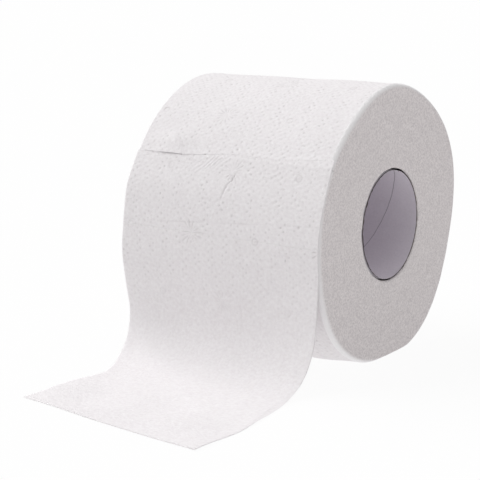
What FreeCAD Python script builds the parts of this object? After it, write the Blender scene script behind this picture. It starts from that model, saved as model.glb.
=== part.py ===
import FreeCAD, Part
import Sketcher
import math
import os
from FreeCAD import Vector

# A roll of soft bathroom tissue lying on its side, with its last sheet let down over the front.
# X runs along the roll's axis, the loose sheet hangs on the -Y side and Z points up.
# The origin is the middle of the core's bore. Lengths are millimetres and angles degrees.

SIZES = [
    ("web_width", 95, "width of the paper, and the core's length"),
    ("roll_diameter", 114, "outside of the wound paper, over the last turn"),
    ("core_bore", 45.5, "inside diameter of the cardboard core"),
    ("core_wall", 0.5, "wall of the core, two plies of greyboard"),
    ("core_clearance", 0.05, "gap between the core and the first turn of paper"),
    ("turn_count", 5, "turns drawn proud on each end, each a bundle of real ones, with as many set back"),
    ("turn_relief", 0.5, "how far the turns that are set back lie behind the others"),
    ("under_clearance", 0.2, "gap between the loose sheet and the turn beneath, where the sheet comes off"),
    ("sheet_thickness", 0.4, "two embossed plies, as they stand when nothing presses on them"),
    ("sheet_length", 125, "one sheet, from one perforation to the next"),
    ("flat_depth", 1.3, "how far the soft roll settles under its own weight"),
    ("perforation_count", 19, "slits in the perforation, side by side across the web"),
    ("bond_width", 1.2, "paper left between one slit and the next"),
    ("slit_height", 0.5, "opening of a slit along the sheet"),
    ("left_knee_radius", 45, "bend that starts the left edge outwards"),
    ("left_knee_angle", 23, "how far the left edge leans out before it lands"),
    ("left_landing_radius", 3, "bend that lays the left edge on the floor"),
    ("right_knee_radius", 19, "bend that starts the right edge outwards"),
    ("right_knee_angle", 62, "how far the right edge leans out before it lands"),
    ("right_landing_radius", 50, "wide bend that lays the right edge on the floor"),
]

# Lengths that follow from the driving sizes.
ROLL_RADIUS = "(sizes.roll_diameter / 2)"
CORE_RADIUS = "(sizes.core_bore / 2 + sizes.core_wall)"
SEAT_RADIUS = f"({CORE_RADIUS} + sizes.core_clearance)"
UNDER_SHEET = f"({ROLL_RADIUS} - sizes.sheet_thickness)"
TURN_PITCH = f"(({UNDER_SHEET} - {SEAT_RADIUS}) / (sizes.turn_count + 0.5))"
SURFACE_DROP = "(sizes.sheet_thickness + sizes.under_clearance)"
REST_HEIGHT = f"({ROLL_RADIUS} - sizes.flat_depth)"
CUT_ALLOWANCE = 5

# Which point of a curve a constraint takes, and the sketch's own x axis, whose start is the origin.
START, END, CENTRE = 1, 2, 3
X_AXIS = -1
# A spiral winds inwards with the clock and its arcs are drawn against it.
OUTWARD, INWARD = END, START

doc = FreeCAD.newDocument("toilet_paper_roll")


def make_sheet():
    """Put every driving size in the sheet, each with its alias and a few words on what it is."""
    sheet = doc.addObject("Spreadsheet::Sheet", "sizes")
    for row, (alias, value, words) in enumerate(SIZES, start=1):
        sheet.set(f"A{row}", words)
        sheet.set(f"B{row}", str(value))
        sheet.setAlias(f"B{row}", alias)
    doc.recompute()
    return sheet


sizes = make_sheet()


def number(expression):
    """Work out an expression of the sheet's sizes."""
    return float(sizes.evalExpression(expression))


def datum(body, role):
    """Find one of the body's own origin planes or axes by its role."""
    return [feature for feature in body.Origin.OriginFeatures if feature.Role == role][0]


def section_sketch(body, name, offset=None):
    """Start a sketch across the roll's axis: its x runs along Y and its y along Z."""
    sketch = body.newObject("Sketcher::SketchObject", name)
    sketch.AttachmentSupport = (datum(body, "YZ_Plane"), [""])
    sketch.MapMode = "FlatFace"
    if offset:
        sketch.setExpression(".AttachmentOffset.Base.z", offset)
    sketch.Visibility = False
    return sketch


def tie(kind, *where):
    """One constraint that has no value."""
    return Sketcher.Constraint(kind, *where), None


def bind(kind, *where, to):
    """One constraint whose value follows an expression of the sheet's sizes."""
    value = number(to)
    if kind == "Angle":
        value = math.radians(value)
    return Sketcher.Constraint(kind, *where, value), to


def constrain(sketch, rules):
    """Add a list of constraints and tie those that have a value to the sheet."""
    first = sketch.ConstraintCount
    sketch.addConstraint([constraint for constraint, expression in rules])
    for index, (constraint, expression) in enumerate(rules, start=first):
        if expression:
            sketch.setExpression(f"Constraints[{index}]", expression)


def symmetric_pad(body, name, sketch, length):
    """Pad a section to both sides by half the length each."""
    pad = body.newObject("PartDesign::Pad", name)
    pad.Profile = sketch
    pad.Midplane = True
    pad.setExpression("Length", length)
    return pad


def through_pocket(body, name, sketch):
    """Cut a section out of the whole width, towards both ends."""
    pocket = body.newObject("PartDesign::Pocket", name)
    pocket.Profile = sketch
    pocket.Type = "ThroughAll"
    pocket.Midplane = True
    return pocket


def half_circle(sketch, centre, radius, over_top):
    """Draw half a circle about a centre on the Y axis, over the top or under the bottom."""
    circle = Part.Circle(Vector(centre, 0, 0), Vector(0, 0, 1), radius)
    first = 0 if over_top else math.pi
    return sketch.addGeometry(Part.ArcOfCircle(circle, first, first + math.pi), False)


def spiral(sketch, start_radius, drop, count):
    """Draw a spiral from the roll's front, over the top and inwards, as a chain of half circles.

    Its radius falls by the drop in each whole turn. The half circles stand on two centres, a quarter
    of the drop either side of the roll's axis, and meet on the Y axis, so the chain is smooth.
    """
    radius = number(start_radius)
    step = number(drop)
    arcs = []
    for index in range(count):
        over_top = index % 2 == 0
        centre = -step / 4 if over_top else step / 4
        arcs.append(half_circle(sketch, centre, radius - step / 4 - index * step / 2, over_top))
    first, second = arcs[:2]
    rules = [
        tie("PointOnObject", first, OUTWARD, X_AXIS),
        bind("DistanceX", first, OUTWARD, X_AXIS, START, to=start_radius),
        tie("PointOnObject", first, CENTRE, X_AXIS),
        bind("DistanceX", first, CENTRE, X_AXIS, START, to=f"{drop} / 4"),
        tie("PointOnObject", second, CENTRE, X_AXIS),
        bind("DistanceX", X_AXIS, START, second, CENTRE, to=f"{drop} / 4"),
    ]
    rules += [tie("PointOnObject", arc, INWARD, X_AXIS) for arc in arcs]
    rules += [tie("Coincident", one, INWARD, following, OUTWARD) for one, following in zip(arcs, arcs[1:])]
    rules += [tie("Coincident", one, CENTRE, after, CENTRE) for one, after in zip(arcs, arcs[2:])]
    constrain(sketch, rules)
    return arcs


def join_ends(sketch, first, first_end, second, second_end):
    """Close two chains with a straight line from the end of one to the end of the other."""
    ends = [sketch.getPoint(first, first_end), sketch.getPoint(second, second_end)]
    line = sketch.addGeometry(Part.LineSegment(*ends), False)
    constrain(sketch, [
        tie("Coincident", line, START, first, first_end),
        tie("Coincident", line, END, second, second_end),
    ])


def wound_roll(body):
    """Pad the roll's outline: one turn of spiral, which leaves the step that the last sheet comes off."""
    sketch = section_sketch(body, "roll_outline")
    top, bottom = spiral(sketch, ROLL_RADIUS, SURFACE_DROP, 2)
    join_ends(sketch, top, OUTWARD, bottom, INWARD)
    return symmetric_pad(body, "wound_roll", sketch, "sizes.web_width")


def ring(sketch, radius):
    """Draw a full circle about the roll's axis."""
    circle = sketch.addGeometry(Part.Circle(Vector(0, 0, 0), Vector(0, 0, 1), number(radius)), False)
    constrain(sketch, [
        tie("Coincident", circle, CENTRE, X_AXIS, START),
        bind("Radius", circle, to=radius),
    ])


def core_seat(body):
    """Open the middle of the roll for the core."""
    sketch = section_sketch(body, "core_seat_outline")
    ring(sketch, SEAT_RADIUS)
    return through_pocket(body, "core_seat", sketch)


def turns(body):
    """Show the turns at both ends: a spiral band set back, which runs in from under the last sheet.

    The band is half as wide as the spiral's pitch, and stops half a turn short of the core, so that
    the first turns stay whole around it.
    """
    sketch = section_sketch(body, "turns_outline", "sizes.web_width / 2")
    halves = 2 * round(number("sizes.turn_count")) - 1
    outer = spiral(sketch, UNDER_SHEET, TURN_PITCH, halves)
    inner = spiral(sketch, f"({UNDER_SHEET} - {TURN_PITCH} / 2)", TURN_PITCH, halves)
    join_ends(sketch, outer[0], OUTWARD, inner[0], OUTWARD)
    join_ends(sketch, outer[-1], INWARD, inner[-1], INWARD)
    right = body.newObject("PartDesign::Pocket", "turns_right")
    right.Profile = sketch
    right.setExpression("Length", "sizes.turn_relief")
    both = body.newObject("PartDesign::Mirrored", "turns_both")
    both.Originals = [right]
    both.MirrorPlane = (datum(body, "YZ_Plane"), [""])
    body.Tip = both
    return both


def rectangle(sketch, left, right, lower, upper):
    """Draw a rectangle between four distances from the origin, each an expression."""
    left_value, right_value = -number(left), -number(right)
    lower_value, upper_value = -number(lower), -number(upper)
    corners = [
        Vector(left_value, upper_value, 0),
        Vector(right_value, upper_value, 0),
        Vector(right_value, lower_value, 0),
        Vector(left_value, lower_value, 0),
    ]
    sides = []
    for corner, following in zip(corners, corners[1:] + corners[:1]):
        sides.append(sketch.addGeometry(Part.LineSegment(corner, following), False))
    rules = [tie("Coincident", side, END, following, START) for side, following in zip(sides, sides[1:] + sides[:1])]
    top, far_side, bottom, near_side = sides
    rules += [tie("Horizontal", top), tie("Vertical", far_side), tie("Horizontal", bottom), tie("Vertical", near_side)]
    rules += [
        bind("DistanceX", top, START, X_AXIS, START, to=left),
        bind("DistanceX", top, END, X_AXIS, START, to=right),
        bind("DistanceY", bottom, START, X_AXIS, START, to=lower),
        bind("DistanceY", top, START, X_AXIS, START, to=upper),
    ]
    constrain(sketch, rules)


def resting_flat(body):
    """Press the underside flat, as the roll's own weight does: all that is lower than the floor goes."""
    sketch = section_sketch(body, "resting_flat_outline")
    rectangle(sketch, ROLL_RADIUS, f"-{ROLL_RADIUS}", f"({ROLL_RADIUS} + {CUT_ALLOWANCE})", REST_HEIGHT)
    return through_pocket(body, "resting_flat", sketch)


def hanging_length(edge):
    """The straight run above an edge's bends: what the bends leave of the height to the floor."""
    knee_drop = f"sizes.{edge}_knee_radius * sin(sizes.{edge}_knee_angle * 1 deg)"
    landing_drop = f"sizes.{edge}_landing_radius * (1 - sin(sizes.{edge}_knee_angle * 1 deg))"
    return f"({REST_HEIGHT} - sizes.sheet_thickness - {knee_drop} - {landing_drop})"


def floor_length(edge):
    """The run along the floor: what the hanging run and the two bends leave of the sheet."""
    knee = f"sizes.{edge}_knee_radius * sizes.{edge}_knee_angle * pi / 180"
    landing = f"sizes.{edge}_landing_radius * (90 - sizes.{edge}_knee_angle) * pi / 180"
    return f"(sizes.sheet_length - {hanging_length(edge)} - {knee} - {landing})"


def bend(centre, radius, first, last):
    """An arc about a centre, between two angles in degrees."""
    circle = Part.Circle(centre, Vector(0, 0, 1), radius)
    return Part.ArcOfCircle(circle, math.radians(first), math.radians(last))


def sheet_edge(body, edge, offset):
    """Draw the loose sheet's section along one edge: down the front, out through two bends, along the floor.

    The upper face hangs flush with the roll's outside. Both faces share the bends' centres, so the
    sheet keeps its thickness all along.
    """
    sketch = section_sketch(body, f"{edge}_edge", offset)
    thickness = number("sizes.sheet_thickness")
    knee = number(f"sizes.{edge}_knee_radius")
    landing = number(f"sizes.{edge}_landing_radius")
    angle = number(f"sizes.{edge}_knee_angle")
    front = -number(ROLL_RADIUS)
    hang = -number(hanging_length(edge))
    lean = Vector(math.cos(math.radians(angle)), -math.sin(math.radians(angle)), 0)
    knee_centre = Vector(front - knee, hang, 0)
    landing_centre = knee_centre + lean * (knee - landing)
    floor = -number(REST_HEIGHT)
    far_end = landing_centre.x - number(floor_length(edge))

    def line(first, last):
        return sketch.addGeometry(Part.LineSegment(Vector(*first, 0), Vector(*last, 0)), False)

    hang_front = line((front, 0), (front, hang))
    knee_front = sketch.addGeometry(bend(knee_centre, knee, -angle, 0), False)
    landing_front = sketch.addGeometry(bend(landing_centre, landing, -90, -angle), False)
    floor_top = line((landing_centre.x, floor + thickness), (far_end, floor + thickness))
    torn_end = line((far_end, floor + thickness), (far_end, floor))
    floor_under = line((far_end, floor), (landing_centre.x, floor))
    landing_back = sketch.addGeometry(bend(landing_centre, landing + thickness, -90, -angle), False)
    knee_back = sketch.addGeometry(bend(knee_centre, knee + thickness, -angle, 0), False)
    hang_back = line((front + thickness, hang), (front + thickness, 0))
    root = line((front + thickness, 0), (front, 0))

    constrain(sketch, [
        tie("Tangent", hang_front, END, knee_front, END),
        tie("Tangent", knee_front, START, landing_front, END),
        tie("Tangent", landing_front, START, floor_top, START),
        tie("Coincident", floor_top, END, torn_end, START),
        tie("Coincident", torn_end, END, floor_under, START),
        tie("Tangent", floor_under, END, landing_back, START),
        tie("Tangent", landing_back, END, knee_back, START),
        tie("Tangent", knee_back, END, hang_back, START),
        tie("Coincident", hang_back, END, root, START),
        tie("Coincident", root, END, hang_front, START),
        tie("Coincident", knee_front, CENTRE, knee_back, CENTRE),
        tie("Coincident", landing_front, CENTRE, landing_back, CENTRE),
        tie("Vertical", hang_front),
        tie("Vertical", hang_back),
        tie("Horizontal", floor_top),
        tie("Horizontal", floor_under),
        tie("Vertical", torn_end),
        tie("Horizontal", root),
        tie("PointOnObject", hang_front, START, X_AXIS),
        bind("DistanceX", hang_front, START, X_AXIS, START, to=ROLL_RADIUS),
        bind("Distance", root, to="sizes.sheet_thickness"),
        bind("Radius", knee_front, to=f"sizes.{edge}_knee_radius"),
        bind("Radius", landing_front, to=f"sizes.{edge}_landing_radius"),
        bind("Angle", knee_front, to=f"sizes.{edge}_knee_angle"),
        bind("Distance", hang_front, to=hanging_length(edge)),
        bind("Distance", floor_top, to=floor_length(edge)),
    ])
    return sketch


def loose_sheet(body):
    """Stretch the last sheet between its two edges, which bend by different amounts."""
    left = sheet_edge(body, "left", "-sizes.web_width / 2")
    right = sheet_edge(body, "right", "sizes.web_width / 2")
    loft = body.newObject("PartDesign::AdditiveLoft", "loose_sheet")
    loft.Profile = left
    loft.Sections = [right]
    loft.Ruled = True
    return loft


def perforation(body):
    """Cut the row of slits along which the loose sheet would be torn off, just below where it leaves the roll.

    Each slit passes through the sheet and stops in the clearance behind it.
    """
    spacing = "(sizes.web_width / sizes.perforation_count)"
    sketch = section_sketch(body, "slit_outline", "(sizes.bond_width - sizes.web_width) / 2")
    outside = f"({ROLL_RADIUS} + {CUT_ALLOWANCE})"
    behind = f"({UNDER_SHEET} - sizes.under_clearance / 2)"
    rectangle(sketch, outside, behind, "(2 * sizes.slit_height)", "sizes.slit_height")
    slit = body.newObject("PartDesign::Pocket", "slit")
    slit.Profile = sketch
    slit.Reversed = True
    slit.setExpression("Length", f"{spacing} - sizes.bond_width")
    row = body.newObject("PartDesign::LinearPattern", "perforation")
    row.Originals = [slit]
    row.Direction = (datum(body, "X_Axis"), [""])
    row.setExpression("Length", f"sizes.web_width - {spacing}")
    row.setExpression("Occurrences", "sizes.perforation_count")
    body.Tip = row
    return row


def make_paper_web():
    """The whole web of paper: the wound turns and the sheet that hangs off them."""
    body = doc.addObject("PartDesign::Body", "paper_web")
    for feature in (wound_roll, core_seat, turns, resting_flat, loose_sheet, perforation):
        made = feature(body)
        doc.recompute()
        print(made.Name, "volume", round(made.Shape.Volume, 1))
    return body


def make_core_tube():
    """The cardboard tube that the web is wound on."""
    body = doc.addObject("PartDesign::Body", "core_tube")
    sketch = section_sketch(body, "core_outline")
    ring(sketch, "(sizes.core_bore / 2)")
    ring(sketch, CORE_RADIUS)
    symmetric_pad(body, "core_wall", sketch, "sizes.web_width")
    return body


def write_parts(bodies):
    """Check every object and every finished shape, then write one file for each piece."""
    doc.recompute()
    for item in doc.Objects:
        if {"Invalid", "Error"} & set(item.State):
            raise ValueError(f"{item.Name} failed: {item.State}")
    for body in bodies:
        if body.Shape.isNull() or not body.Shape.isValid() or len(body.Shape.Solids) != 1:
            raise ValueError(f"{body.Label} is not one sound solid")
    os.makedirs("parts", exist_ok=True)
    for body in bodies:
        body.Shape.exportStep(f"parts/{body.Label}.step")
        box = body.Shape.BoundBox
        print(body.Label, "volume", round(body.Shape.Volume, 1), "box", box)


write_parts([make_paper_web(), make_core_tube()])
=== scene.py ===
# %% [markdown]
# # A roll of toilet tissue, dressed
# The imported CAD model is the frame: a wound web of paper with its last sheet let down over the front,
# and the cardboard core. Here each of the two gets the surface that the real one shows: embossed tissue,
# soft cut ends where the turns meet the eye, a creased line where the web has been folded, a perforation,
# and a greyboard tube wound from a strip. Everything is in metres, in the frame's own axes: X runs along
# the roll, the loose sheet hangs on the -Y side, Z points up.

# %% Load the frame
import math

import bpy
import numpy as np
from mathutils import Matrix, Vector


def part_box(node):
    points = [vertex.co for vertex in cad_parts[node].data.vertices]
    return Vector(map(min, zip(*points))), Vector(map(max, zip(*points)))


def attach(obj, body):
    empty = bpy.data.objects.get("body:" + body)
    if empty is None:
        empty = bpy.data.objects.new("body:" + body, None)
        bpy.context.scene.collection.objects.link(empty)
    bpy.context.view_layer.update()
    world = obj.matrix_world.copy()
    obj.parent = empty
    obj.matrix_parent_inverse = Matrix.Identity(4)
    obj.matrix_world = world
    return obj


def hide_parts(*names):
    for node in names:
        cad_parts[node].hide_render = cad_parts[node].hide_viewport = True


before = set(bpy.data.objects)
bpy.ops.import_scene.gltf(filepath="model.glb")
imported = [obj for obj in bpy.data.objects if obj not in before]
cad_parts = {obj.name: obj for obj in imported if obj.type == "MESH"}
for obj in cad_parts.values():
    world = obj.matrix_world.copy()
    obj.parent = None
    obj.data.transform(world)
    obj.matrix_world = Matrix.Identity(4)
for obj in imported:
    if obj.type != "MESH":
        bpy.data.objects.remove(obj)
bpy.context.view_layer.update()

# %% [markdown]
# ## Sizes
# The frame gives the width, the core and the floor. The rest is given here: the radius of the roll, the
# board of the core, the thickness and length of a sheet, and how far the rim is rounded at each end. Angles
# go round the roll from the back, over the top at 90 degrees, to the front at 180.

# %% Sizes from the frame and from the paper
MM = 0.001
web_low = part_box("paper_web")[0]
core_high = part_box("core_tube")[1]
HALF_WIDTH = core_high[0]
CORE_OUTSIDE = core_high[2]
FLOOR = web_low[2]
ROLL_RADIUS = 57 * MM
CORE_WALL = 0.5 * MM
CORE_CLEARANCE = 0.05 * MM
SHEET_THICKNESS = 0.2 * MM
SHEET_LENGTH = 125 * MM
STEP_UNDER_SHEET = 0.6 * MM
LEFT_RIM = 0.9 * MM
RIGHT_RIM = 2.2 * MM

CREASE_ANGLE = math.radians(148)
PERFORATION_ANGLE = math.radians(180)
CREASE_LENGTH = ROLL_RADIUS * (PERFORATION_ANGLE - CREASE_ANGLE)
HORIZON_ANGLE = math.radians(78)

print("half width", HALF_WIDTH, "floor", FLOOR, "crease to perforation", round(CREASE_LENGTH, 4))

# %% [markdown]
# ## Helpers for surfaces
# Every piece is a grid of points worked out as whole arrays. One function turns a grid into a mesh, with
# a UV map that holds the paper's own coordinates: the distance along the web and across it, in metres,
# so that a pattern follows the sheet round the roll and down to the floor.

# %% Grid to mesh
def grid_faces(rows, columns, first=0, wrap=False):
    """Quads of a grid: each takes a point, its right neighbour, and the same two of the next row."""
    last = columns if wrap else columns - 1
    row, column = np.meshgrid(np.arange(rows - 1), np.arange(last), indexing="ij")
    right = (column + 1) % columns
    a = first + row * columns + column
    b = first + row * columns + right
    c = first + (row + 1) * columns + right
    d = first + (row + 1) * columns + column
    return np.stack([a, b, c, d], -1).reshape(-1, 4)


def make_mesh(name, points, faces, paper, grey_and_shade=None, flat_from=None, full_turn=None):
    """Put points, quads and each point's paper coordinates into one mesh object.

    A face that runs over the join of a closed ring has the full turn added to its small coordinates.
    The grey share, from 0 to 1 at each point, is for the material to read. On a face it says how hard the
    paper is pressed, with painted shade in pits, strokes, grooves and slits added in. On a cut end it says
    how far in from the rounded rim a point lies, where the colour goes from the white of the face to the
    felt.
    Faces from flat_from on are narrow edges: they stay flat, so that they don't tilt the light beside them.
    """
    mesh = bpy.data.meshes.new(name)
    mesh.vertices.add(len(points))
    mesh.vertices.foreach_set("co", points.astype(np.float32).ravel())
    mesh.loops.add(faces.size)
    mesh.loops.foreach_set("vertex_index", faces.astype(np.int32).ravel())
    mesh.polygons.add(len(faces))
    mesh.polygons.foreach_set("loop_start", np.arange(0, faces.size, 4, dtype=np.int32))
    mesh.update(calc_edges=True)
    corners = paper[faces]
    if full_turn:
        first = corners[..., 0]
        over_join = np.ptp(first, axis=1, keepdims=True) > full_turn / 2
        corners[..., 0] = np.where(over_join & (first < 0), first + full_turn, first)
    mesh.uv_layers.new(name="paper").data.foreach_set("uv", corners.astype(np.float32).ravel())
    if grey_and_shade is not None:
        layer = mesh.attributes.new("grey_and_shade", "FLOAT", "POINT")
        layer.data.foreach_set("value", grey_and_shade.astype(np.float32).ravel())
    smooth = np.ones(len(faces), bool)
    smooth[len(faces) if flat_from is None else flat_from:] = False
    mesh.polygons.foreach_set("use_smooth", smooth)
    mesh.validate()
    piece = bpy.data.objects.new(name, mesh)
    bpy.context.scene.collection.objects.link(piece)
    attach(piece, "root")
    print(name, "quads", len(faces), "box", np.round(points.min(0), 4), np.round(points.max(0), 4))
    return piece


def smooth_step(value, low, high):
    """Rise from 0 to 1 between two values, level at both ends: 3t^2 - 2t^3."""
    t = np.clip((value - low) / (high - low), 0, 1)
    return t * t * (3 - 2 * t)


def hill(value, centre, spread):
    """A bell of height 1: e to the minus square of the distance over the spread."""
    return np.exp(-((value - centre) / spread) ** 2)


# %% [markdown]
# Paper is never quite even. A sum of a few sines that run in scattered directions gives a soft, fixed
# unevenness with no random state to carry about: the directions come from the golden angle, so they
# never line up.

# %% Soft unevenness
GOLDEN_ANGLE = math.pi * (3 - math.sqrt(5))


def waves(u, v, length, seed, count=7):
    """Sum of sines in scattered directions, each a little shorter than the last, scaled to about 1."""
    total = np.zeros(np.broadcast(u, v).shape)
    for index in range(count):
        turn = GOLDEN_ANGLE * (index + seed)
        pitch = length * (0.75 + 0.5 * math.sin(3.1 * (index + seed)) ** 2)
        along = (u * math.cos(turn) + v * math.sin(turn)) * 2 * math.pi / pitch
        total += np.sin(along + 1.7 * (index + 2 * seed))
    return total / math.sqrt(count / 2) / 1.6


# %% [markdown]
# ## The emboss
# Two plies are pressed together between rollers whose pins leave small pits. Here the pits stand in
# dotted lines that cross on the slant and leave small diamonds between them, 2.3 mm from pit to pit. A few
# larger figures lie among them: plain bursts of short strokes, and rings, set out on a wide lattice. Pits
# are drawn as geometry, because light from the side shows them, and each point also keeps a grey share:
# how hard it is pressed, since pressed tissue is a little greyer, with painted shade in the pits and
# strokes added in. They are crisp where the paper is still held tight on the roll and fade where the sheet
# hangs slack.

# %% Pits, bursts and rings
ROW_STEP = 1.63 * MM
PIT_STEP = 3.3 * MM
PIT_RADIUS = 0.42 * MM
PIT_DEPTH = 0.18 * MM
FIGURE_ACROSS = 31 * MM
FIGURE_ALONG = 27 * MM
BURST_INNER = 1.3 * MM
BURST_OUTER = 6.2 * MM
BURST_STROKES = 15
STROKE_DEPTH = 0.16 * MM
RING_RADIUS = 1.3 * MM
RING_WIDTH = 0.33 * MM


def nearest_in_lattice(along, across, step_along, step_across):
    """Offsets to the nearest point of a lattice whose odd rows are shifted by half a step."""
    row = np.round(along / step_along)
    shift = 0.5 * (row % 2)
    column = np.round(across / step_across - shift)
    return along - row * step_along, across - (column + shift) * step_across, row, column


def pits(along, across):
    """Depth of the pits, from 0 to 1: a bell about every pit, with the rows a little out of line.

    Every other row is shifted by half a step, so the pits line up on both slants. Each pit has its own
    depth, from a sine of its row and column, and slow patches are pressed harder than others.
    """
    bent_along = along + 0.3 * MM * waves(along, across, 8 * MM, 12) + 0.07 * across
    bent_across = across + 0.3 * MM * waves(along, across, 9 * MM, 15)
    du, dv, row, column = nearest_in_lattice(bent_along, bent_across, ROW_STEP, PIT_STEP)
    own = 0.58 + 0.42 * np.sin(12.9 * row + 78.2 * column)
    patch = np.clip(0.7 + 0.3 * waves(along, across, 13 * MM, 9), 0, 1)
    return own * patch * np.exp(-((du ** 2 + dv ** 2) / PIT_RADIUS ** 2) ** 1.2)


def figures(along, across):
    """Depth of the larger figures, and where they clear the pits away around them.

    Every other point of the wide lattice has a burst: strokes where the sine of the angle times
    their number is high, between two radii. The points between have a small ring about a pit.
    """
    du, dv, row, column = nearest_in_lattice(along + 5 * MM, across - 3 * MM, FIGURE_ALONG, FIGURE_ACROSS)
    radius = np.hypot(du, dv)
    angle = np.arctan2(dv, du) + row + 2 * column
    burst = (np.abs(row + column) % 2) < 0.5
    reach = BURST_OUTER * (0.85 + 0.15 * np.sin(3 * angle + row))
    band = smooth_step(radius, BURST_INNER, BURST_INNER + 0.5 * MM)
    band = band * (1 - smooth_step(radius, reach - 1.0 * MM, reach))
    strokes = smooth_step(np.sin(angle * BURST_STROKES), 0.3, 0.95) * band
    ring = hill(radius, RING_RADIUS, RING_WIDTH) + 0.6 * hill(radius, 0, RING_WIDTH)
    faint = 0.65 + 0.35 * waves(along, across, 7 * MM, 13)
    depth = np.where(burst, strokes, ring) * faint
    clear = np.where(burst, 1 - smooth_step(radius, BURST_OUTER - MM, BURST_OUTER),
                     1 - smooth_step(radius, 1.6 * RING_RADIUS, 1.6 * RING_RADIUS + 0.6 * MM))
    return depth, clear


def emboss(along, across, strength):
    """How far the surface stands back from the smooth sheet, in metres, and its grey share: how hard it is
    pressed, with painted shade in the pits and strokes.
    """
    depth, clear = figures(along, across)
    crepe = 0.035 * MM * waves(along, across, 2.6 * MM, 3)
    dots = pits(along, across) * (1 - clear)
    sunk = (PIT_DEPTH * dots + STROKE_DEPTH * depth - crepe) * strength
    return sunk, np.clip(0.8 * dots + 0.55 * depth, 0, 1) * strength


print("pits per square centimetre", round(1e-4 / (ROW_STEP * PIT_STEP)))

# %% [markdown]
# ## The wound roll
# The outermost turn is a spiral that steps down by 0.6 mm in a full turn, three thicknesses of the sheet,
# so that the web below the loose sheet lies under it. A soft roll is never quite round: a short sum of
# sines and cosines of the angle, one for each end, says by how much, and between the ends the two are
# blended. Its own weight presses a flat under it, which a soft limit on the height makes, and low at the
# front the last turns sag a little on their own.

# %% Out of round
# Millimetres: the mean, then one wave round the roll, two, and so on.
LEFT_MEAN = 0.25
LEFT_COSINES = (0.34, -0.60, -0.14, -0.03, 0.04)
LEFT_SINES = (-0.10, 0.74, 0.21, 0.10, 0.31)
RIGHT_MEAN = 0.8
RIGHT_COSINES = (0.87, -0.42, -0.41, -0.25, 0.16, -0.14)
RIGHT_SINES = (-0.64, 1.47, 0.15, 0.57, 0.64, -0.07)
SAG = 2.0 * MM
SAG_ANGLE = math.radians(-112)
SAG_SPREAD = math.radians(20)
SAG_PLACE = 24 * MM
SAG_WIDTH = 17 * MM
FLAT_EASE = 0.4 * MM
UNEVEN = 0.12 * MM


def swell(angle, mean, cosines, sines):
    """The mean, and over the waves the sum of a cosine and a sine of the angle, each times its own size."""
    return MM * mean + MM * sum(c * np.cos((k + 1) * angle) + s * np.sin((k + 1) * angle)
                    for k, (c, s) in enumerate(zip(cosines, sines)))


def outer_radius(angle, across):
    """Radius of the outer turn: even fall along the spiral, plus the swell, blended from end to end, plus
    a soft belly low at the front, where the last turns sag onto the floor."""
    share = across / (2 * HALF_WIDTH) + 0.5
    out_of_round = ((1 - share) * swell(angle, LEFT_MEAN, LEFT_COSINES, LEFT_SINES)
                    + share * swell(angle, RIGHT_MEAN, RIGHT_COSINES, RIGHT_SINES))
    belly = SAG * hill(angle, SAG_ANGLE, SAG_SPREAD) * hill(across, SAG_PLACE, SAG_WIDTH)
    return ROLL_RADIUS - STEP_UNDER_SHEET * (CREASE_ANGLE - angle) / (2 * math.pi) + out_of_round + belly


def settle(height, level=FLOOR, ease=FLAT_EASE):
    """Hold a height above a level, with a soft corner: over the level, it is half the sum of the height
    and its own size, eased by a small length under the root."""
    over = height - level
    return level + 0.5 * (over + np.sqrt(over ** 2 + ease ** 2))


print("radius at the right end every 45 degrees, mm:",
      np.round(outer_radius(np.radians(np.arange(-180, 136, 45)), HALF_WIDTH) / MM, 1))

# %% [markdown]
# The turn starts at the crease, goes over the top, down the back and under, and ends beneath the sheet.
# It is made in two pieces, so that the part which faces the light can have the finer grid. At the crease
# its edge is turned under by 0.3 mm, and at the left it has come open: there the edge stands off in a
# small blister with a slit of shadow below it. The crease isn't straight either: it climbs to the right by
# nearly 4 mm, in slow waves.

# %% The outer turn
FINE_STEP = 0.31 * MM
COARSE_STEP = 1.0 * MM
OPEN_PLACE = -32 * MM
OPEN_WIDTH = 9 * MM
CREASE_PLACES = (-60, -28, -21, -14, 0, 6, 13, 21, 30, 40, 50)
CREASE_RISES = (0, 0, 0, 0.8, 2.1, 2.2, 1.7, 1.5, 2.1, 3.2, 4.0)
CREASE_FADE = 30 * MM
EDGE_BLUR = 6 * MM
RIDGE = 0.12 * MM
HEM = 0.3 * MM


def spaced(*runs):
    """A run of distances whose step changes: each run gives its start, its end and its step."""
    parts = [np.linspace(start, end, max(2, int(round((end - start) / step)) + 1))[:-1]
             for start, end, step in runs]
    return np.concatenate(parts + [[runs[-1][1]]])


def along_edge(distance, places, values):
    """Straight runs between the given places, averaged over 6 mm to round them."""
    samples = [np.interp((distance + shift * EDGE_BLUR) / MM, places, values)
               for shift in (-0.5, -0.25, 0, 0.25, 0.5)]
    return np.mean(samples, 0)


def crease_rise(across):
    """How much higher up the web the crease lies than at its left end, from heights given at a few places
    across, with the corners rounded."""
    return MM * along_edge(across, CREASE_PLACES, CREASE_RISES)


def inside_rims(across):
    """Distance in from the nearer of the two rounded rims."""
    return np.minimum(across + HALF_WIDTH - LEFT_RIM, HALF_WIDTH - RIGHT_RIM - across)


def blister(along, across):
    """How far the turn stands off above the crease: a low ridge all across, and a blister at the left."""
    ridge = RIDGE * hill(along, 0, 1.5 * MM)
    bulge = 0.45 * hill(along, 0, 4 * MM) + 0.9 * hill(along, 6 * MM, 4.5 * MM)
    bulge = bulge * hill(across, OPEN_PLACE, OPEN_WIDTH)
    fold = 0.2 * hill(across, OPEN_PLACE + 8 * MM - 0.9 * along, 1.6 * MM) * hill(along, 5 * MM, 6 * MM)
    return smooth_step(inside_rims(across), 0, 4 * MM) * (ridge + MM * (bulge + fold))


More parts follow.
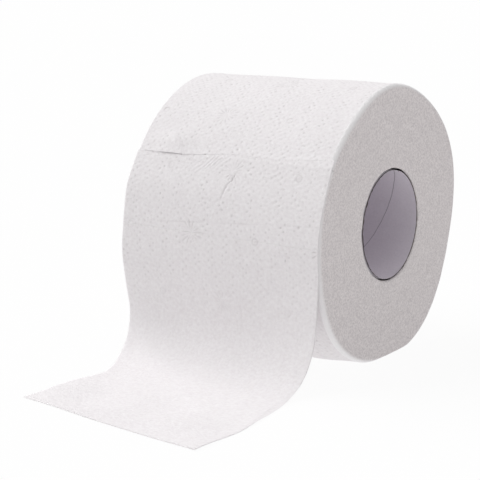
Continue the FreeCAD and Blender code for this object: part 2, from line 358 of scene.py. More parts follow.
def outer_turn(name, along, step_across, hem=0.0):
    """A stretch of the outer turn as a grid: distances along the web from the crease one way, and
    distances across it the other. A point stands at the outer radius less how far it is sunk."""
    across = spaced((-HALF_WIDTH + LEFT_RIM, HALF_WIDTH - RIGHT_RIM, step_across))[None, :]
    along = along[:, None]
    web = along + crease_rise(across) * (1 - smooth_step(along, 0, CREASE_FADE))
    angle = CREASE_ANGLE - web / ROLL_RADIUS
    sunk, grey_and_shade = emboss(web, across, smooth_step(inside_rims(across), 0, 0.8 * MM))
    uneven = UNEVEN * waves(web, across, 38 * MM, 11) * smooth_step(inside_rims(across), 0, 8 * MM)
    sunk = sunk - blister(along, across) - uneven
    sunk[0] += hem
    radius = outer_radius(angle, across) - sunk
    points = np.stack([across + 0 * radius, radius * np.cos(angle), settle(radius * np.sin(angle))], -1)
    paper = np.stack([web, across + 0 * radius], -1)
    return make_mesh(name, points.reshape(-1, 3), grid_faces(*radius.shape), paper.reshape(-1, 2), grey_and_shade)


HORIZON = ROLL_RADIUS * (CREASE_ANGLE - HORIZON_ANGLE)
TURN_END = ROLL_RADIUS * 2 * math.pi
top_rows = spaced((0, 1.2 * MM, 0.15 * MM), (1.2 * MM, HORIZON, FINE_STEP))
top_turn = outer_turn("outer_turn_top", np.concatenate([[0], top_rows]), FINE_STEP, hem=HEM)
back_turn = outer_turn("outer_turn_back", spaced((HORIZON, TURN_END, COARSE_STEP)), 2 * FINE_STEP)

# %% [markdown]
# ## The cut ends
# A log of tissue two metres long is sawn into rolls, so the ends are the edges of some 150 turns, soft as
# felt. The turns show as faint rings, never quite level. The end is a polar grid, with the spiral drawn
# as low ridges, coarser than the real ones so that they show, and the outermost turns curl over in a
# quarter round to meet the outer turn.

# %% The ends
TURN_SHOWN = 1.0 * MM
TURN_RELIEF = 0.035 * MM
END_RINGS = 84
END_SPOKES = 360
RIM_RINGS = 11
HOLE_EASE = 0.7 * MM
HOLE_GAP = 0.15 * MM
DRIFT = 0.09 * MM
RELIEF_CAP = 0.3 * MM
END_SETBACK = 0.1 * MM
RIM_BLEND = 3 * MM


def end_face(name, side):
    """One cut end, from the core out to the rim and round it, on the side given by +1 or -1.

    The height of the end is a sum of the spiral's ridges, a slow drift from turn to turn and a soft
    unevenness. The rim follows a quarter circle, whose outer end lies on the outer turn, and the hole
    for the core is rounded in.
    """
    seat = CORE_OUTSIDE + CORE_CLEARANCE + HOLE_GAP
    rim = RIGHT_RIM if side > 0 else LEFT_RIM
    angle = np.linspace(CREASE_ANGLE - 2 * math.pi, CREASE_ANGLE, END_SPOKES + 1)[None, :]
    share = np.linspace(0, 1, END_RINGS)[:, None]
    edge = outer_radius(angle, side * (HALF_WIDTH - rim))
    flat_radius = seat + (edge - rim - seat) * share
    turn = np.linspace(0, math.pi / 2, RIM_RINGS)[1:, None]
    rim_radius = edge - rim + rim * np.sin(turn)
    radius = np.concatenate([flat_radius, rim_radius])
    setback = np.concatenate([0 * flat_radius, rim * (1 - np.cos(turn)) + 0 * angle])
    angle = angle + 0 * radius
    y = radius * np.cos(angle)
    z = radius * np.sin(angle)
    phase = radius / TURN_SHOWN + angle / (2 * math.pi)
    ridges = TURN_RELIEF * np.abs(np.sin(math.pi * phase)) * (0.6 + 0.4 * waves(y, z, 14 * MM, 5))
    drift = DRIFT * (0.6 * np.sin(radius * 900 + 1) + 0.4 * np.sin(radius * 2300))
    off_rim = smooth_step(edge - radius, 0, RIM_BLEND)
    relief = (ridges + drift + UNEVEN * waves(y, z, 11 * MM, 2)) * off_rim
    rounded = HOLE_EASE * (1 - smooth_step(radius - seat, 0, HOLE_EASE)) ** 2
    relief = np.minimum(relief, RELIEF_CAP) - END_SETBACK * off_rim
    x = side * (HALF_WIDTH - setback + relief - rounded)
    points = np.stack([x, y, settle(z)], -1).reshape(-1, 3)
    paper = np.stack([angle * ROLL_RADIUS, radius], -1).reshape(-1, 2)
    faces = grid_faces(END_RINGS + RIM_RINGS - 1, END_SPOKES + 1)
    if side > 0:
        faces = faces[:, ::-1]
    # The share of felt grows from the rim inwards; the white rim is partly the face's own white and partly a
    # painted highlight.
    inside = smooth_step(edge - radius, 0.2 * rim, 0.9 * rim)
    return make_mesh(name, points, faces, paper, inside)


right_end = end_face("cut_end_right", 1)
left_end = end_face("cut_end_left", -1)

# %% [markdown]
# ## The loose sheet
# From the crease down the web is free. It leaves the roll, hangs, bends and runs out over the floor, and
# its left edge bends sharply while its right edge sweeps wide. A sheet can bend but not stretch, so each
# line along it is drawn by its heading: the angle from straight down, given at a few places along the web
# for each edge and blended between them across the sheet. Adding up the steps keeps the length true.
# The width isn't kept in the same way: the edges are placed to match the picture's outline, and on the
# floor they come up to 9 mm closer than on the roll, where real paper would stay 95 mm wide. A cloth
# simulation would keep both, but would find some fall of its own.

# %% The fall of the sheet
# Distance from the crease in millimetres; heading in degrees outwards from straight down; place across.
HEADING_PLACES = (0, 10, 20, 30, 38, 46, 54, 60, 66, 72, 78, 84, 90, 96, 102, 110, 120, 157)
LEFT_HEADINGS = (31, 33, 11, 8, 7, -8, -11, -9, -13, 5, 25, 42, 64, 81, 92, 88, 91, 89)
RIGHT_HEADINGS = (26, 24, 18, 5, -4, 5, 6, 3, 11, 25, 34, 52, 67, 76, 87, 89, 90, 90)
EDGE_PLACES = (0, 60, 76, 86, 94, 104, 114, 130, 157)
LEFT_EDGE = (-47.5, -47.7, -47.4, -45.9, -43.7, -38.8, -35.3, -38.0, -40.6)
RIGHT_EDGE = (47.5, 47.8, 48.2, 48.0, 47.6, 48.3, 49.8, 51.6, 49.4)
FREE_LENGTH = CREASE_LENGTH + SHEET_LENGTH
PATH_STEP = 0.1 * MM
TUCK = 7 * MM
TUCK_DEPTH = 0.4 * MM
SHEET_PROUD = 0.05 * MM
REST_HEIGHT = 0.15 * MM
REST_EASE = 0.2 * MM
RIPPLE = 0.22 * MM
LIFT = 0.2 * MM


def sheet_middle(distance, share):
    """Middle surface of the sheet at distances along the web and shares of its width from the left.

    The heading is blended between the edges. A step down the sheet moves out by the sine of the heading
    and down by its cosine, each cut short by what the step moves sideways, and y and z are running sums.
    What is left over or short of the floor is spread along the hanging part.
    """
    table = np.arange(0, FREE_LENGTH + PATH_STEP, PATH_STEP)[:, None]
    blend = share[None, :]
    heading = np.radians(along_edge(table, HEADING_PLACES, LEFT_HEADINGS) * (1 - blend)
                         + along_edge(table, HEADING_PLACES, RIGHT_HEADINGS) * blend)
    x = MM * (along_edge(table, EDGE_PLACES, LEFT_EDGE) * (1 - blend)
              + along_edge(table, EDGE_PLACES, RIGHT_EDGE) * blend)
    forward = np.sqrt(1 - np.clip(np.gradient(x, PATH_STEP, axis=0), -0.8, 0.8) ** 2) * PATH_STEP
    start_radius = outer_radius(CREASE_ANGLE, (2 * blend - 1) * HALF_WIDTH) + SHEET_PROUD
    y = start_radius * math.cos(CREASE_ANGLE) - np.cumsum(np.sin(heading) * forward, 0)
    z = start_radius * math.sin(CREASE_ANGLE) - np.cumsum(np.cos(heading) * forward, 0)
    z = z + (FLOOR - z[-1:]) * smooth_step(table, 20 * MM, 85 * MM)
    z = settle(z, FLOOR + REST_HEIGHT, REST_EASE)
    place = np.clip(distance / PATH_STEP, 0, len(table) - 1.001)
    low = place.astype(int)
    part = (place - low)[:, None]
    points = [axis[low] * (1 - part) + axis[low + 1] * part for axis in (x, y, z)]
    return tuck_under(np.stack(points, -1), distance, share)


def tuck_under(points, distance, share):
    """Above the crease the web runs on under the outer turn, along the circle and 0.35 mm below it, and
    draws in a little from its rounded rims."""
    across = (2 * share[None, :] - 1) * HALF_WIDTH
    tucked = smooth_step(-distance[:, None] - crease_rise(across), 0, 1 * MM)
    across = (2 * share[None, :] - 1) * (HALF_WIDTH - (RIGHT_RIM + 0.3 * MM) * tucked)
    depth = TUCK_DEPTH * tucked - SHEET_PROUD
    radius = outer_radius(CREASE_ANGLE + distance[:, None] / ROLL_RADIUS, across) - depth
    angle = CREASE_ANGLE + distance[:, None] / ROLL_RADIUS + 0 * across
    under = np.stack([across + 0 * radius, radius * np.cos(angle), radius * np.sin(angle)], -1)
    return np.where(distance[:, None, None] < 0, under, points)


def loosen(distance, across):
    """How far the middle surface moves out of its line: slow ripples where it hangs, and a little uneven
    lift where it lies on the floor."""
    hanging = smooth_step(distance, 10 * MM, 45 * MM) * (1 - smooth_step(distance, 90 * MM, 112 * MM))
    lying = smooth_step(distance, 95 * MM, 120 * MM)
    ripple = RIPPLE * waves(distance, across, 55 * MM, 4) * hanging
    return ripple + LIFT * (1 + waves(distance, across, 34 * MM, 8)) * lying


def unit_normals(points):
    """Unit normal of a grid surface, from the cross product of its slopes both ways."""
    along = np.gradient(points, axis=0)
    across = np.gradient(points, axis=1)
    normal = np.cross(along, across)
    return normal / np.linalg.norm(normal, axis=-1, keepdims=True)


def slack(distance):
    """How crisp the emboss is along the free web: full on the roll, slight where the sheet lies flat."""
    return 0.22 + 0.78 * (1 - smooth_step(distance, 34 * MM, 78 * MM))


# %% [markdown]
# Some marks belong to this web alone. Under the crease runs a shallow gutter with small ticks where the
# fibres have let go, a few short wrinkles slant away below it, a crooked fold line runs down the middle,
# and the perforation is a row of slits, a little askew.

# %% Marks on the loose web
PERFORATION_PITCH = 5 * MM
SLIT_SHARE = 0.84
SLIT_PLACES = (-50, -26, 8, 38, 50)
SLIT_RISES = (1.5, 3.2, 6.0, 8.3, 9.0)
SLIT_WIDTH = 0.3 * MM
FOLD_LINE = ((7, 4.6), (11, 3.6), (13, 1.7), (17, 0.6), (22, 0.1))
FOLD_WIDTH = 0.32 * MM
TICK_PITCH = 1.5 * MM
WRINKLE_PITCH = 2.3 * MM


def gutter(distance, across):
    """A shallow gutter just under the crease, deepest at the left, and ticks along its right half."""
    depth = 0.05 + 0.07 * hill(across, OPEN_PLACE, OPEN_WIDTH)
    ticks = 0.5 + 0.5 * np.sin(across * 2 * math.pi / TICK_PITCH + 3 * waves(distance, across, 9 * MM, 6))
    ticks = ticks * hill(across, 14 * MM, 11 * MM) * hill(distance, 0.8 * MM, 0.6 * MM)
    # The second value darkens the ticks: painted shade in them.
    return MM * (depth * hill(distance, 0.2 * MM, 0.7 * MM) + 0.07 * ticks), 0.15 * ticks


def wrinkles(distance, across):
    """Short ridges that slant away below the crease, left of the middle."""
    slanted = across + 1.1 * distance
    row = np.sin(slanted * 2 * math.pi / WRINKLE_PITCH + 1.5 * waves(distance, across, 12 * MM, 14))
    return row * hill(slanted, -6 * MM, 7 * MM) * hill(distance, 4 * MM, 3.5 * MM)


def fold_line(distance, across):
    """A groove along a crooked line that is given by a few points, down and across, in millimetres."""
    down, over = np.array(FOLD_LINE).T
    line = MM * np.interp(distance / MM, down, over)
    begins = smooth_step(distance, down[0] * MM, (down[0] + 2) * MM)
    ends = 1 - smooth_step(distance, (down[-1] - 7) * MM, down[-1] * MM)
    return hill(across, line, FOLD_WIDTH) * (begins * ends)


def slits(distance, across):
    """The perforation: a dash along each pitch, with the bonds between them left smooth. It runs askew, up
    to the right, by distances given at a few places across the web."""
    line = CREASE_LENGTH - MM * along_edge(across, SLIT_PLACES, SLIT_RISES)
    phase = ((across + 0.15 * MM * waves(distance, across, 21 * MM, 5)) / PERFORATION_PITCH) % 1
    dash = smooth_step(phase, 0, 0.08) * (1 - smooth_step(phase, SLIT_SHARE, SLIT_SHARE + 0.08))
    uneven = np.clip(0.6 + 0.4 * waves(distance, across, 30 * MM, 10), 0.3, 1)
    return dash * uneven * hill(distance, line, SLIT_WIDTH)


# %% [markdown]
# The free web is made in two pieces that meet at the border between the sheets, 31.8 mm below the crease.
# The upper one runs on 7 mm under the outer turn and has the finer grid, because its emboss is crisper.

# %% The sheets
PLY_PLACE = 106 * MM
PLY_LENGTH = 12 * MM
PLY_BACK = 1.8 * MM
PLY_OUT = 0.4 * MM
FRONT_CLEAR = 0.06 * MM
BEHIND_CLEAR = 0.01 * MM


def sheet_piece(name, distance, step):
    """A stretch of the free web as a closed sheet: an embossed face, the face behind it, and four edges.

    Both faces are the middle surface moved half the thickness along its normal, a thickness apart, and
    the thickness thins out towards the edges. Where the right edge nears the floor the upper ply draws
    back and the lower one shows past it.
    """
    columns = 2 * int(round(HALF_WIDTH / step)) + 1
    share = np.linspace(0, 1, columns)
    down = distance[:, None]
    across = (share * 2 - 1)[None, :] * HALF_WIDTH
    middle = sheet_middle(distance, share)
    normal = unit_normals(middle)
    middle = middle + normal * loosen(down, across)[..., None]
    from_edge = HALF_WIDTH - np.abs(across)
    sunk, grey_and_shade = emboss(-down, across, slack(down) * smooth_step(from_edge, 0.2 * MM, 0.9 * MM))
    below = down + crease_rise(across)
    channel, ticks = gutter(below, across)
    fold = fold_line(below, across)
    slit = slits(down, across)
    sunk = sunk + channel + MM * (0.3 * fold + 0.08 * slit + 0.09 * wrinkles(below, across))
    # The grey share rises along the ticks, the fold and the slits: painted shade in the gutter, the groove
    # and the slits.
    grey_and_shade = np.clip(grey_and_shade + ticks + 0.25 * fold + 0.3 * slit, 0, 1)
    thin = 0.4 + 0.6 * smooth_step(from_edge, 0, 1.5 * MM)
    half = 0.5 * SHEET_THICKNESS * thin
    front = middle + normal * (half - sunk)[..., None]
    behind = middle - normal * (half + sunk)[..., None]
    apart = smooth_step(across, HALF_WIDTH - 3 * MM, HALF_WIDTH) * hill(down, PLY_PLACE, PLY_LENGTH)
    front[..., 0] -= PLY_BACK * apart
    behind[..., 0] += PLY_OUT * apart
    front[..., 2] = np.maximum(front[..., 2], FLOOR + FRONT_CLEAR)
    behind[..., 2] = np.maximum(behind[..., 2], FLOOR + BEHIND_CLEAR)
    count = down.size * columns
    index = np.arange(count).reshape(-1, columns)

    def edge_strip(line):
        """Quads that join a line of the front face to the same line of the face behind it."""
        return np.stack([line[:-1], line[1:], line[1:] + count, line[:-1] + count], -1)

    faces = np.concatenate([
        grid_faces(down.size, columns)[:, ::-1],
        grid_faces(down.size, columns, first=count),
        edge_strip(index[0]), edge_strip(index[-1])[:, ::-1],
        edge_strip(index[:, 0])[:, ::-1], edge_strip(index[:, -1]),
    ])
    paper = np.stack([-down + 0 * across, across + 0 * down], -1).reshape(-1, 2)
    piece = make_mesh(name, np.concatenate([front.reshape(-1, 3), behind.reshape(-1, 3)]), faces,
                      np.concatenate([paper, paper]), np.concatenate([grey_and_shade, 0 * grey_and_shade]),
                      flat_from=2 * (down.size - 1) * (columns - 1))
    return piece


upper_rows = spaced((-TUCK, -5.2 * MM, 0.6 * MM), (-5.2 * MM, -0.8 * MM, 0.3 * MM),
                    (-0.8 * MM, 1.6 * MM, 0.15 * MM), (1.6 * MM, CREASE_LENGTH, FINE_STEP))
lower_rows = spaced((CREASE_LENGTH, 66 * MM, 0.4 * MM), (66 * MM, FREE_LENGTH, 0.8 * MM))
upper_sheet = sheet_piece("loose_web_upper", upper_rows, FINE_STEP)
lower_sheet = sheet_piece("loose_sheet", lower_rows, 0.42 * MM)

# %% [markdown]
# ## The core
# The tube is a strip of greyboard wound in a helix and glued, so one seam runs round inside it. The wall
# is a closed ring swept round the bore: inside face, cut end, outside face, cut end. The seam is a small
# step in the inside face, where one turn of the strip laps the last.

# %% The core
SEAM_PITCH = 62 * MM
SEAM_START = 32.2 * MM
SEAM_STEP = 0.1 * MM
CORE_INSIDE = CORE_OUTSIDE - CORE_WALL
CORE_SETBACK = 0.2 * MM
NICK_ANGLE = math.radians(76)
NICK_SPREAD = math.radians(2.5)
NICK_DEPTH = 0.6 * MM
FRAY = 0.1 * MM


def seam_distance(angle, x):
    """Distance along the bore to the nearest turn of the seam, which climbs evenly with the angle."""
    away = x - SEAM_START - SEAM_PITCH * angle / (2 * math.pi)
    return away - SEAM_PITCH * np.round(away / SEAM_PITCH)


def core_tube():
    """The wall as a grid: round the section one way, round the bore the other, both closed.

    The section goes along the inside and back along the outside. Inside, the wall steps in by a board's
    lap past the seam and eases back. The ends are a little frayed, with one nick near the top.
    """
    inner_x = np.linspace(HALF_WIDTH - CORE_SETBACK, -HALF_WIDTH + CORE_SETBACK, 150)
    outer_x = inner_x[::-1][::10]
    x = np.concatenate([inner_x, outer_x])[:, None]
    inner = np.concatenate([np.ones(inner_x.size), np.zeros(outer_x.size)])[:, None]
    angle = np.linspace(-math.pi, math.pi, 241)[None, :-1]
    away = seam_distance(angle, x)
    lap = SEAM_STEP * smooth_step(away, -0.2 * MM, 0.4 * MM) * (1 - smooth_step(away, 1 * MM, 9 * MM))
    at_end = np.abs(x) > HALF_WIDTH - CORE_SETBACK - 0.1 * MM
    nick = NICK_DEPTH * hill(angle, NICK_ANGLE, NICK_SPREAD) * (x > 0) * at_end
    radius = CORE_INSIDE + CORE_WALL * (1 - inner) - lap * inner - nick
    fray = FRAY * waves(angle * 30 * MM, 0 * x, 5 * MM, 6) * at_end
    x = x + np.sign(x) * fray - nick
    points = np.stack([x, radius * np.cos(angle), radius * np.sin(angle)], -1).reshape(-1, 3)
    rows, columns = radius.shape
    faces = np.concatenate([grid_faces(rows, columns, wrap=True), closing_quads(rows, columns)])
    paper = np.stack([angle * CORE_INSIDE + 0 * x, x], -1).reshape(-1, 2)
    return make_mesh("core_board", points, faces, paper, full_turn=2 * math.pi * CORE_INSIDE)


def closing_quads(rows, columns):
    """Quads that join the last row of a grid back to its first."""
    column = np.arange(columns)
    right = (column + 1) % columns
    last = (rows - 1) * columns
    return np.stack([last + column, last + right, right, column], -1)


core_board = core_tube()

# %% Replace the nodes
for piece in (top_turn, back_turn, right_end, left_end, upper_sheet, lower_sheet):
    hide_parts("paper_web")
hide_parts("core_tube")

# %% [markdown]
# ## Materials
# One helper adds a node with its settings and links, and one turns a hex colour from sRGB to linear.

# %% Helpers for materials
def linear(code):
    """Turn an sRGB hex code to linear light: divide by 12.92 near black, a 2.4 power elsewhere."""
    parts = [int(code[index:index + 2], 16) / 255 for index in (0, 2, 4)]
    return [p / 12.92 if p <= 0.04045 else ((p + 0.055) / 1.055) ** 2.4 for p in parts] + [1.0]


def add(tree, kind, inputs=None, **settings):
    """Add a node, set its properties, and fill its inputs with values or with another node's output."""
    node = tree.nodes.new(kind)
    for name, value in settings.items():
        setattr(node, name, value)
    for name, value in (inputs or {}).items():
        socket = node.inputs[name]
        if isinstance(value, bpy.types.NodeSocket):
            tree.links.new(value, socket)
        else:
            socket.default_value = value
    return node


def new_material(name):
    """An empty node material with its output."""
    material = bpy.data.materials.new(name)
    material.use_nodes = True
    material.node_tree.nodes.clear()
    return material, material.node_tree, add(material.node_tree, "ShaderNodeOutputMaterial")


# %% [markdown]
# ### Creped tissue
# Bleached soft tissue is dry fibre with air between: matt, a shade off white, with no gloss at all. Its
# surface has the fine crepe that the doctor blade leaves, about 0.3 mm from ridge to ridge. That is finer
# than the picture can show, so the crepe is drawn at 1.1 mm. The fibres lie denser in some places than in
# others, which makes soft patches a millimetre or so across, and where the emboss has pressed the plies
# together there is less air, and the tissue looks greyer. The same grey also stands for painted shade in
# the pits, strokes, grooves and slits.

# %% Creped tissue
TISSUE_WHITE = "f8f6f7"
TISSUE_SHADE = "e5e0e2"
# Grey of pressed tissue, also used as painted shade in pits, strokes, grooves and slits.
TISSUE_PRESSED_AND_SHADE = "cec9ca"
CREPE_SIZE = 1.1 * MM
CREPE_HEIGHT = 0.16 * MM
PATCH_SIZE = 1.3 * MM


def creped_tissue():
    """Matt white tissue, with the crepe drawn out across the web on the paper's own coordinates."""
    material, tree, output = new_material("creped_tissue")
    paper = add(tree, "ShaderNodeUVMap", uv_map="paper")
    place = add(tree, "ShaderNodeTexCoord")
    drawn = add(tree, "ShaderNodeMapping", {"Vector": paper.outputs["UV"], "Scale": (1.0, 0.6, 1.0)})
    crepe = add(tree, "ShaderNodeTexNoise",
                {"Vector": drawn.outputs["Vector"], "Scale": 1 / CREPE_SIZE, "Detail": 1.0, "Roughness": 0.5})
    bump = add(tree, "ShaderNodeBump",
               {"Height": crepe.outputs["Fac"], "Strength": 1.0, "Distance": CREPE_HEIGHT})
    patch = add(tree, "ShaderNodeTexNoise",
                {"Vector": place.outputs["Object"], "Scale": 1 / PATCH_SIZE, "Detail": 2.0, "Roughness": 0.6})
    plain = add(tree, "ShaderNodeMix",
                {"Factor": patch.outputs["Fac"], "A": linear(TISSUE_WHITE), "B": linear(TISSUE_SHADE)},
                data_type="RGBA")
    # Mixed in by the grey share: pressed tissue, and painted shade in the hollows and slits.
    grey_and_shade = add(tree, "ShaderNodeAttribute", attribute_name="grey_and_shade")
    colour = add(tree, "ShaderNodeMix",
                 {"Factor": grey_and_shade.outputs["Fac"], "A": plain.outputs["Result"],
                  "B": linear(TISSUE_PRESSED_AND_SHADE)},
                 data_type="RGBA")
    shader = add(tree, "ShaderNodeBsdfPrincipled",
                 {"Base Color": colour.outputs["Result"], "Roughness": 0.95, "Specular IOR Level": 0.12,
                  "Normal": bump.outputs["Normal"]})
    tree.links.new(shader.outputs["BSDF"], output.inputs["Surface"])
    return material


# %% [markdown]
# ### Sawn tissue edge
# The saw leaves the edges of the turns standing as a felt. It is the same fibre, but light sinks in
# between the plies, so it is greyer and warmer than the face. The turns lie only about 0.2 mm apart. That
# is finer than the picture can show, so the grain is drawn at 0.8 mm and the rings at 0.9 mm. On the
# rounded rim the colour goes over to the white of the face: partly the web itself seen again, and partly
# a painted highlight along the rim.

# %% Sawn tissue edge
FELT_WHITE = "e9e3e3"
FELT_SHADE = "d3cdce"
GRAIN_SIZE = 0.8 * MM
GRAIN_HEIGHT = 0.4 * MM
RING_SIZE = 0.9 * MM


def sawn_edge():
    """Felt of cut plies: grain on the object's coordinates, and fine rings along the turns."""
    material, tree, output = new_material("sawn_tissue_edge")
    place = add(tree, "ShaderNodeTexCoord")
    grain = add(tree, "ShaderNodeTexNoise",
                {"Vector": place.outputs["Object"], "Scale": 1 / GRAIN_SIZE, "Detail": 2.0, "Roughness": 0.6})
    paper = add(tree, "ShaderNodeUVMap", uv_map="paper")
    turns = add(tree, "ShaderNodeMapping", {"Vector": paper.outputs["UV"], "Scale": (0.08, 1.0, 1.0)})
    rings = add(tree, "ShaderNodeTexNoise",
                {"Vector": turns.outputs["Vector"], "Scale": 1 / RING_SIZE, "Detail": 3.0})
    both = add(tree, "ShaderNodeMix", {"Factor": 0.15, "A": grain.outputs["Fac"], "B": rings.outputs["Fac"]})
    bump = add(tree, "ShaderNodeBump",
               {"Height": both.outputs["Result"], "Strength": 1.0, "Distance": GRAIN_HEIGHT})
    spread = add(tree, "ShaderNodeMapRange",
                 {"Value": both.outputs["Result"], "From Min": 0.38, "From Max": 0.62})
    felt = add(tree, "ShaderNodeMix",
               {"Factor": spread.outputs["Result"], "A": linear(FELT_SHADE), "B": linear(FELT_WHITE)},
               data_type="RGBA")
    # White on the rim, felt inside: the white is partly the web's own face and partly a painted highlight
    # along the rim.
    sawn = add(tree, "ShaderNodeAttribute", attribute_name="grey_and_shade")
    colour = add(tree, "ShaderNodeMix",
                 {"Factor": sawn.outputs["Fac"], "A": linear(TISSUE_WHITE), "B": felt.outputs["Result"]},
                 data_type="RGBA")
    shader = add(tree, "ShaderNodeBsdfPrincipled",
                 {"Base Color": colour.outputs["Result"], "Roughness": 1.0, "Specular IOR Level": 0.08,
                  "Normal": bump.outputs["Normal"]})
    tree.links.new(shader.outputs["BSDF"], output.inputs["Surface"])
    return material


face_tissue = creped_tissue()
end_tissue = sawn_edge()
for piece in (top_turn, back_turn, upper_sheet, lower_sheet):
    piece.data.materials.append(face_tissue)
for piece in (right_end, left_end):
    piece.data.materials.append(end_tissue)

# %% [markdown]
# ### Greyboard
# The core is recycled board: pale grey with a cool, faintly violet cast, mottled by fibres of every
# colour, and matt. Its cut ends are darker: partly the open fibres and the glue of the cut, and partly
# painted shade at the mouth of the tube. The seam is darker too.

# %% Greyboard
BOARD_LIGHT = "e0dae1"
BOARD_DARK = "cbc4cd"
# Cut board, darkened further as painted shade at the mouth of the tube.
BOARD_CUT_AND_SHADE = "5d5452"
BOARD_SEAM = "7a737d"
SEAM_WIDTH = 0.22 * MM
CUT_DEPTH = 0.45 * MM
CUT_BLUR = 0.3 * MM
MOTTLE_SIZE = 1.0 * MM
MOTTLE_HEIGHT = 0.2 * MM


def greyboard():
    """Mottled grey board from noise on the object's own coordinates, darker within a short way of either
    cut end, and darker along the seam: the unrolled place across, less the seam's even climb."""
    material, tree, output = new_material("wound_greyboard")
    place = add(tree, "ShaderNodeTexCoord")
    mottle = add(tree, "ShaderNodeTexNoise",
                 {"Vector": place.outputs["Object"], "Scale": 1 / MOTTLE_SIZE, "Detail": 5.0,
                  "Roughness": 0.7})
    board = add(tree, "ShaderNodeMix",
                {"Factor": mottle.outputs["Fac"], "A": linear(BOARD_LIGHT), "B": linear(BOARD_DARK)},
                data_type="RGBA")
    paper = add(tree, "ShaderNodeUVMap", uv_map="paper")
    unrolled = add(tree, "ShaderNodeSeparateXYZ", {"Vector": paper.outputs["UV"]})
    slope = -SEAM_PITCH / (2 * math.pi * CORE_INSIDE)
    climb = add(tree, "ShaderNodeMath", {0: unrolled.outputs["X"], 1: slope, 2: unrolled.outputs["Y"]},
                operation="MULTIPLY_ADD")
    wander = add(tree, "ShaderNodeTexNoise", {"Vector": place.outputs["Object"], "Scale": 1 / (4 * MM)})
    bent = add(tree, "ShaderNodeMath", {0: wander.outputs["Fac"], 1: 0.5 * MM, 2: climb.outputs[0]},
               operation="MULTIPLY_ADD")
    away = add(tree, "ShaderNodeMath",
               {0: bent.outputs[0], 1: SEAM_START + 0.5 * SEAM_PITCH, 2: SEAM_START - 0.5 * SEAM_PITCH},
               operation="WRAP")
    off = add(tree, "ShaderNodeMath", {0: away.outputs[0], 1: SEAM_START}, operation="SUBTRACT")
    size = add(tree, "ShaderNodeMath", {0: off.outputs[0]}, operation="ABSOLUTE")
    seam = add(tree, "ShaderNodeMapRange",
               {"Value": size.outputs[0], "From Min": SEAM_WIDTH / 2, "From Max": SEAM_WIDTH, "To Min": 0.7,
                "To Max": 0.0})
    seamed = add(tree, "ShaderNodeMix",
                 {"Factor": seam.outputs["Result"], "A": board.outputs["Result"], "B": linear(BOARD_SEAM)},
                 data_type="RGBA")
    axes = add(tree, "ShaderNodeSeparateXYZ", {"Vector": place.outputs["Object"]})
    from_middle = add(tree, "ShaderNodeMath", {0: axes.outputs["X"]}, operation="ABSOLUTE")
    # Darker within a short way of each end: the cut's own fibre and glue, and painted shade at the mouth of
    # the tube.
    cut_end = add(tree, "ShaderNodeMapRange",
                  {"Value": from_middle.outputs[0], "From Min": HALF_WIDTH - CUT_DEPTH - CUT_BLUR,
                   "From Max": HALF_WIDTH - CUT_DEPTH})
    colour = add(tree, "ShaderNodeMix",
                 {"Factor": cut_end.outputs["Result"], "A": seamed.outputs["Result"], "B": linear(BOARD_CUT_AND_SHADE)},
                 data_type="RGBA")
    bump = add(tree, "ShaderNodeBump",
               {"Height": mottle.outputs["Fac"], "Strength": 0.8, "Distance": MOTTLE_HEIGHT})
    shader = add(tree, "ShaderNodeBsdfPrincipled",
                 {"Base Color": colour.outputs["Result"], "Roughness": 0.85, "Specular IOR Level": 0.25,
                  "Normal": bump.outputs["Normal"]})
    tree.links.new(shader.outputs["BSDF"], output.inputs["Surface"])
    return material


core_board.data.materials.append(greyboard())

# %% [markdown]
# ## Camera
# The camera stands where the picture was taken from: 35 degrees round to the right of the front, 12
# degrees up, 618 mm away. Its matrix is built from the three directions right, up and back.

# %% Camera
AZIMUTH = math.radians(35.243)
ELEVATION = math.radians(11.991)
ROLL = math.radians(-0.397)
DISTANCE = 618.08 * MM
FOCAL_PIXELS = 1429.14
FRAME_PIXELS = 480
AIM_PIXEL = (295.04, 212.79)
SENSOR = 36

back = np.array([math.sin(AZIMUTH) * math.cos(ELEVATION), -math.cos(AZIMUTH) * math.cos(ELEVATION),
                 math.sin(ELEVATION)])
level = np.array([math.cos(AZIMUTH), math.sin(AZIMUTH), 0.0])
upright = np.cross(back, level)
right = math.cos(ROLL) * level + math.sin(ROLL) * upright
up = -math.sin(ROLL) * level + math.cos(ROLL) * upright
shift_right = (AIM_PIXEL[0] - FRAME_PIXELS / 2) * DISTANCE / FOCAL_PIXELS
shift_down = (AIM_PIXEL[1] - FRAME_PIXELS / 2) * DISTANCE / FOCAL_PIXELS
stand = back * DISTANCE - right * shift_right + up * shift_down

lens = bpy.data.cameras.new("camera")
lens.sensor_width = SENSOR
lens.lens = FOCAL_PIXELS * SENSOR / FRAME_PIXELS
camera = bpy.data.objects.new("camera", lens)
bpy.context.scene.collection.objects.link(camera)
turned = np.stack([right, up, back], 1)
camera.matrix_world = Matrix([[*axis, place] for axis, place in zip(turned, stand)] + [[0, 0, 0, 1]])
bpy.context.scene.camera = camera
print("camera stands at", np.round(stand, 4), "lens", round(lens.lens, 2))

# %% [markdown]
# ## Floor, light and background
# The picture has a white ground and soft light from the left, with the cut end in shade. The floor keeps
# the shadow: for the camera it is mostly white of its own, and the rest of it is a pale matt surface that
# darkens where the roll stands. For the light that it sends on to the roll, about two thirds of it is a
# white glow of its own. That stands for the light that a bright table throws back.

# %% Floor
FLOOR_REACH = 8.0
FLOOR_COLOUR = "f4f3f3"
OWN_WHITE = 0.93
GLOW = 0.68


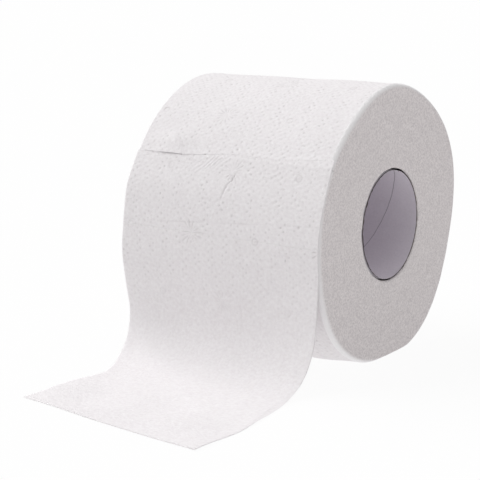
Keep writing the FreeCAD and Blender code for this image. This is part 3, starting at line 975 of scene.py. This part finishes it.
def seen_directly(tree):
    """A socket that is 1 for camera rays and for mirror and glass rays, and 0 for the light sent on."""
    path = add(tree, "ShaderNodeLightPath")
    seen = add(tree, "ShaderNodeMath", {0: path.outputs["Is Camera Ray"], 1: path.outputs["Is Glossy Ray"]},
               operation="MAXIMUM")
    seen = add(tree, "ShaderNodeMath", {0: seen.outputs[0], 1: path.outputs["Is Transmission Ray"]},
               operation="MAXIMUM")
    return seen.outputs[0]


def floor_material():
    """Pale matt floor, mixed with plain white: by GLOW for the light that it sends on, as a bright
    table would, and by OWN_WHITE for the camera and for mirror and glass rays."""
    material, tree, output = new_material("pale_floor")
    matt = add(tree, "ShaderNodeBsdfDiffuse", {"Color": linear(FLOOR_COLOUR)})
    white = add(tree, "ShaderNodeEmission", {"Color": linear("ffffff"), "Strength": 1.0})
    share = add(tree, "ShaderNodeMath", {0: seen_directly(tree), 1: OWN_WHITE - GLOW, 2: GLOW},
                operation="MULTIPLY_ADD")
    mixed = add(tree, "ShaderNodeMixShader",
                {"Fac": share.outputs[0], 1: matt.outputs["BSDF"], 2: white.outputs["Emission"]})
    tree.links.new(mixed.outputs["Shader"], output.inputs["Surface"])
    return material


floor_mesh = bpy.data.meshes.new("floor")
corners = [(FLOOR_REACH * x, FLOOR_REACH * y, FLOOR) for x, y in ((-1, -1), (1, -1), (1, 1), (-1, 1))]
floor_mesh.from_pydata(corners, [], [(0, 1, 2, 3)])
floor_mesh.materials.append(floor_material())
floor = bpy.data.objects.new("floor", floor_mesh)
bpy.context.scene.collection.objects.link(floor)

# %% [markdown]
# A studio tent gives light from so wide a source that its shadows have no edge. Suns with a wide angle do
# the same and light the whole floor evenly: a strong one from the left and above, which leaves the cut end
# in shade, and a weak one nearly overhead. Each is given by the direction that it shines from, its spread
# in degrees and its strength.

# %% Lamps
LAMPS = {
    "light_left": ((-0.75, -0.10, 0.65), 60, 2.15),
    "light_above": ((0.30, 0.10, 0.95), 50, 0.46),
}


def soft_sun(name, shines_from, spread, strength):
    """A sun whose own Z axis points to where it shines from, with its spread in degrees."""
    light = bpy.data.lights.new(name, "SUN")
    light.angle = math.radians(spread)
    light.energy = strength
    away = np.array(shines_from) / np.linalg.norm(shines_from)
    side = np.cross([0, 1, 0.01], away)
    side = side / np.linalg.norm(side)
    over = np.cross(away, side)
    lamp = bpy.data.objects.new(name, light)
    lamp.matrix_world = Matrix([[*axis, 0] for axis in np.stack([side, over, away], 1)] + [[0, 0, 0, 1]])
    bpy.context.scene.collection.objects.link(lamp)


for name, (shines_from, spread, strength) in LAMPS.items():
    soft_sun(name, shines_from, spread, strength)

# %% [markdown]
# The world is the rest of the tent: dim light from all round. The camera, and mirror and glass rays, see
# it as plain white.

# %% World
AMBIENT = 0.42

world = bpy.data.worlds.new("studio")
world.use_nodes = True
tree = world.node_tree
tree.nodes.clear()
dim = add(tree, "ShaderNodeBackground", {"Color": linear("ffffff"), "Strength": AMBIENT})
white = add(tree, "ShaderNodeBackground", {"Color": linear("ffffff"), "Strength": 1.0})
mixed = add(tree, "ShaderNodeMixShader",
            {"Fac": seen_directly(tree), 1: dim.outputs["Background"], 2: white.outputs["Background"]})
add(tree, "ShaderNodeOutputWorld", {"Surface": mixed.outputs["Shader"]})
print("ambient", AMBIENT, "lamps", {name: lamp[2] for name, lamp in LAMPS.items()})
bpy.context.scene.world = world
bpy.context.scene.view_settings.view_transform = "Standard"
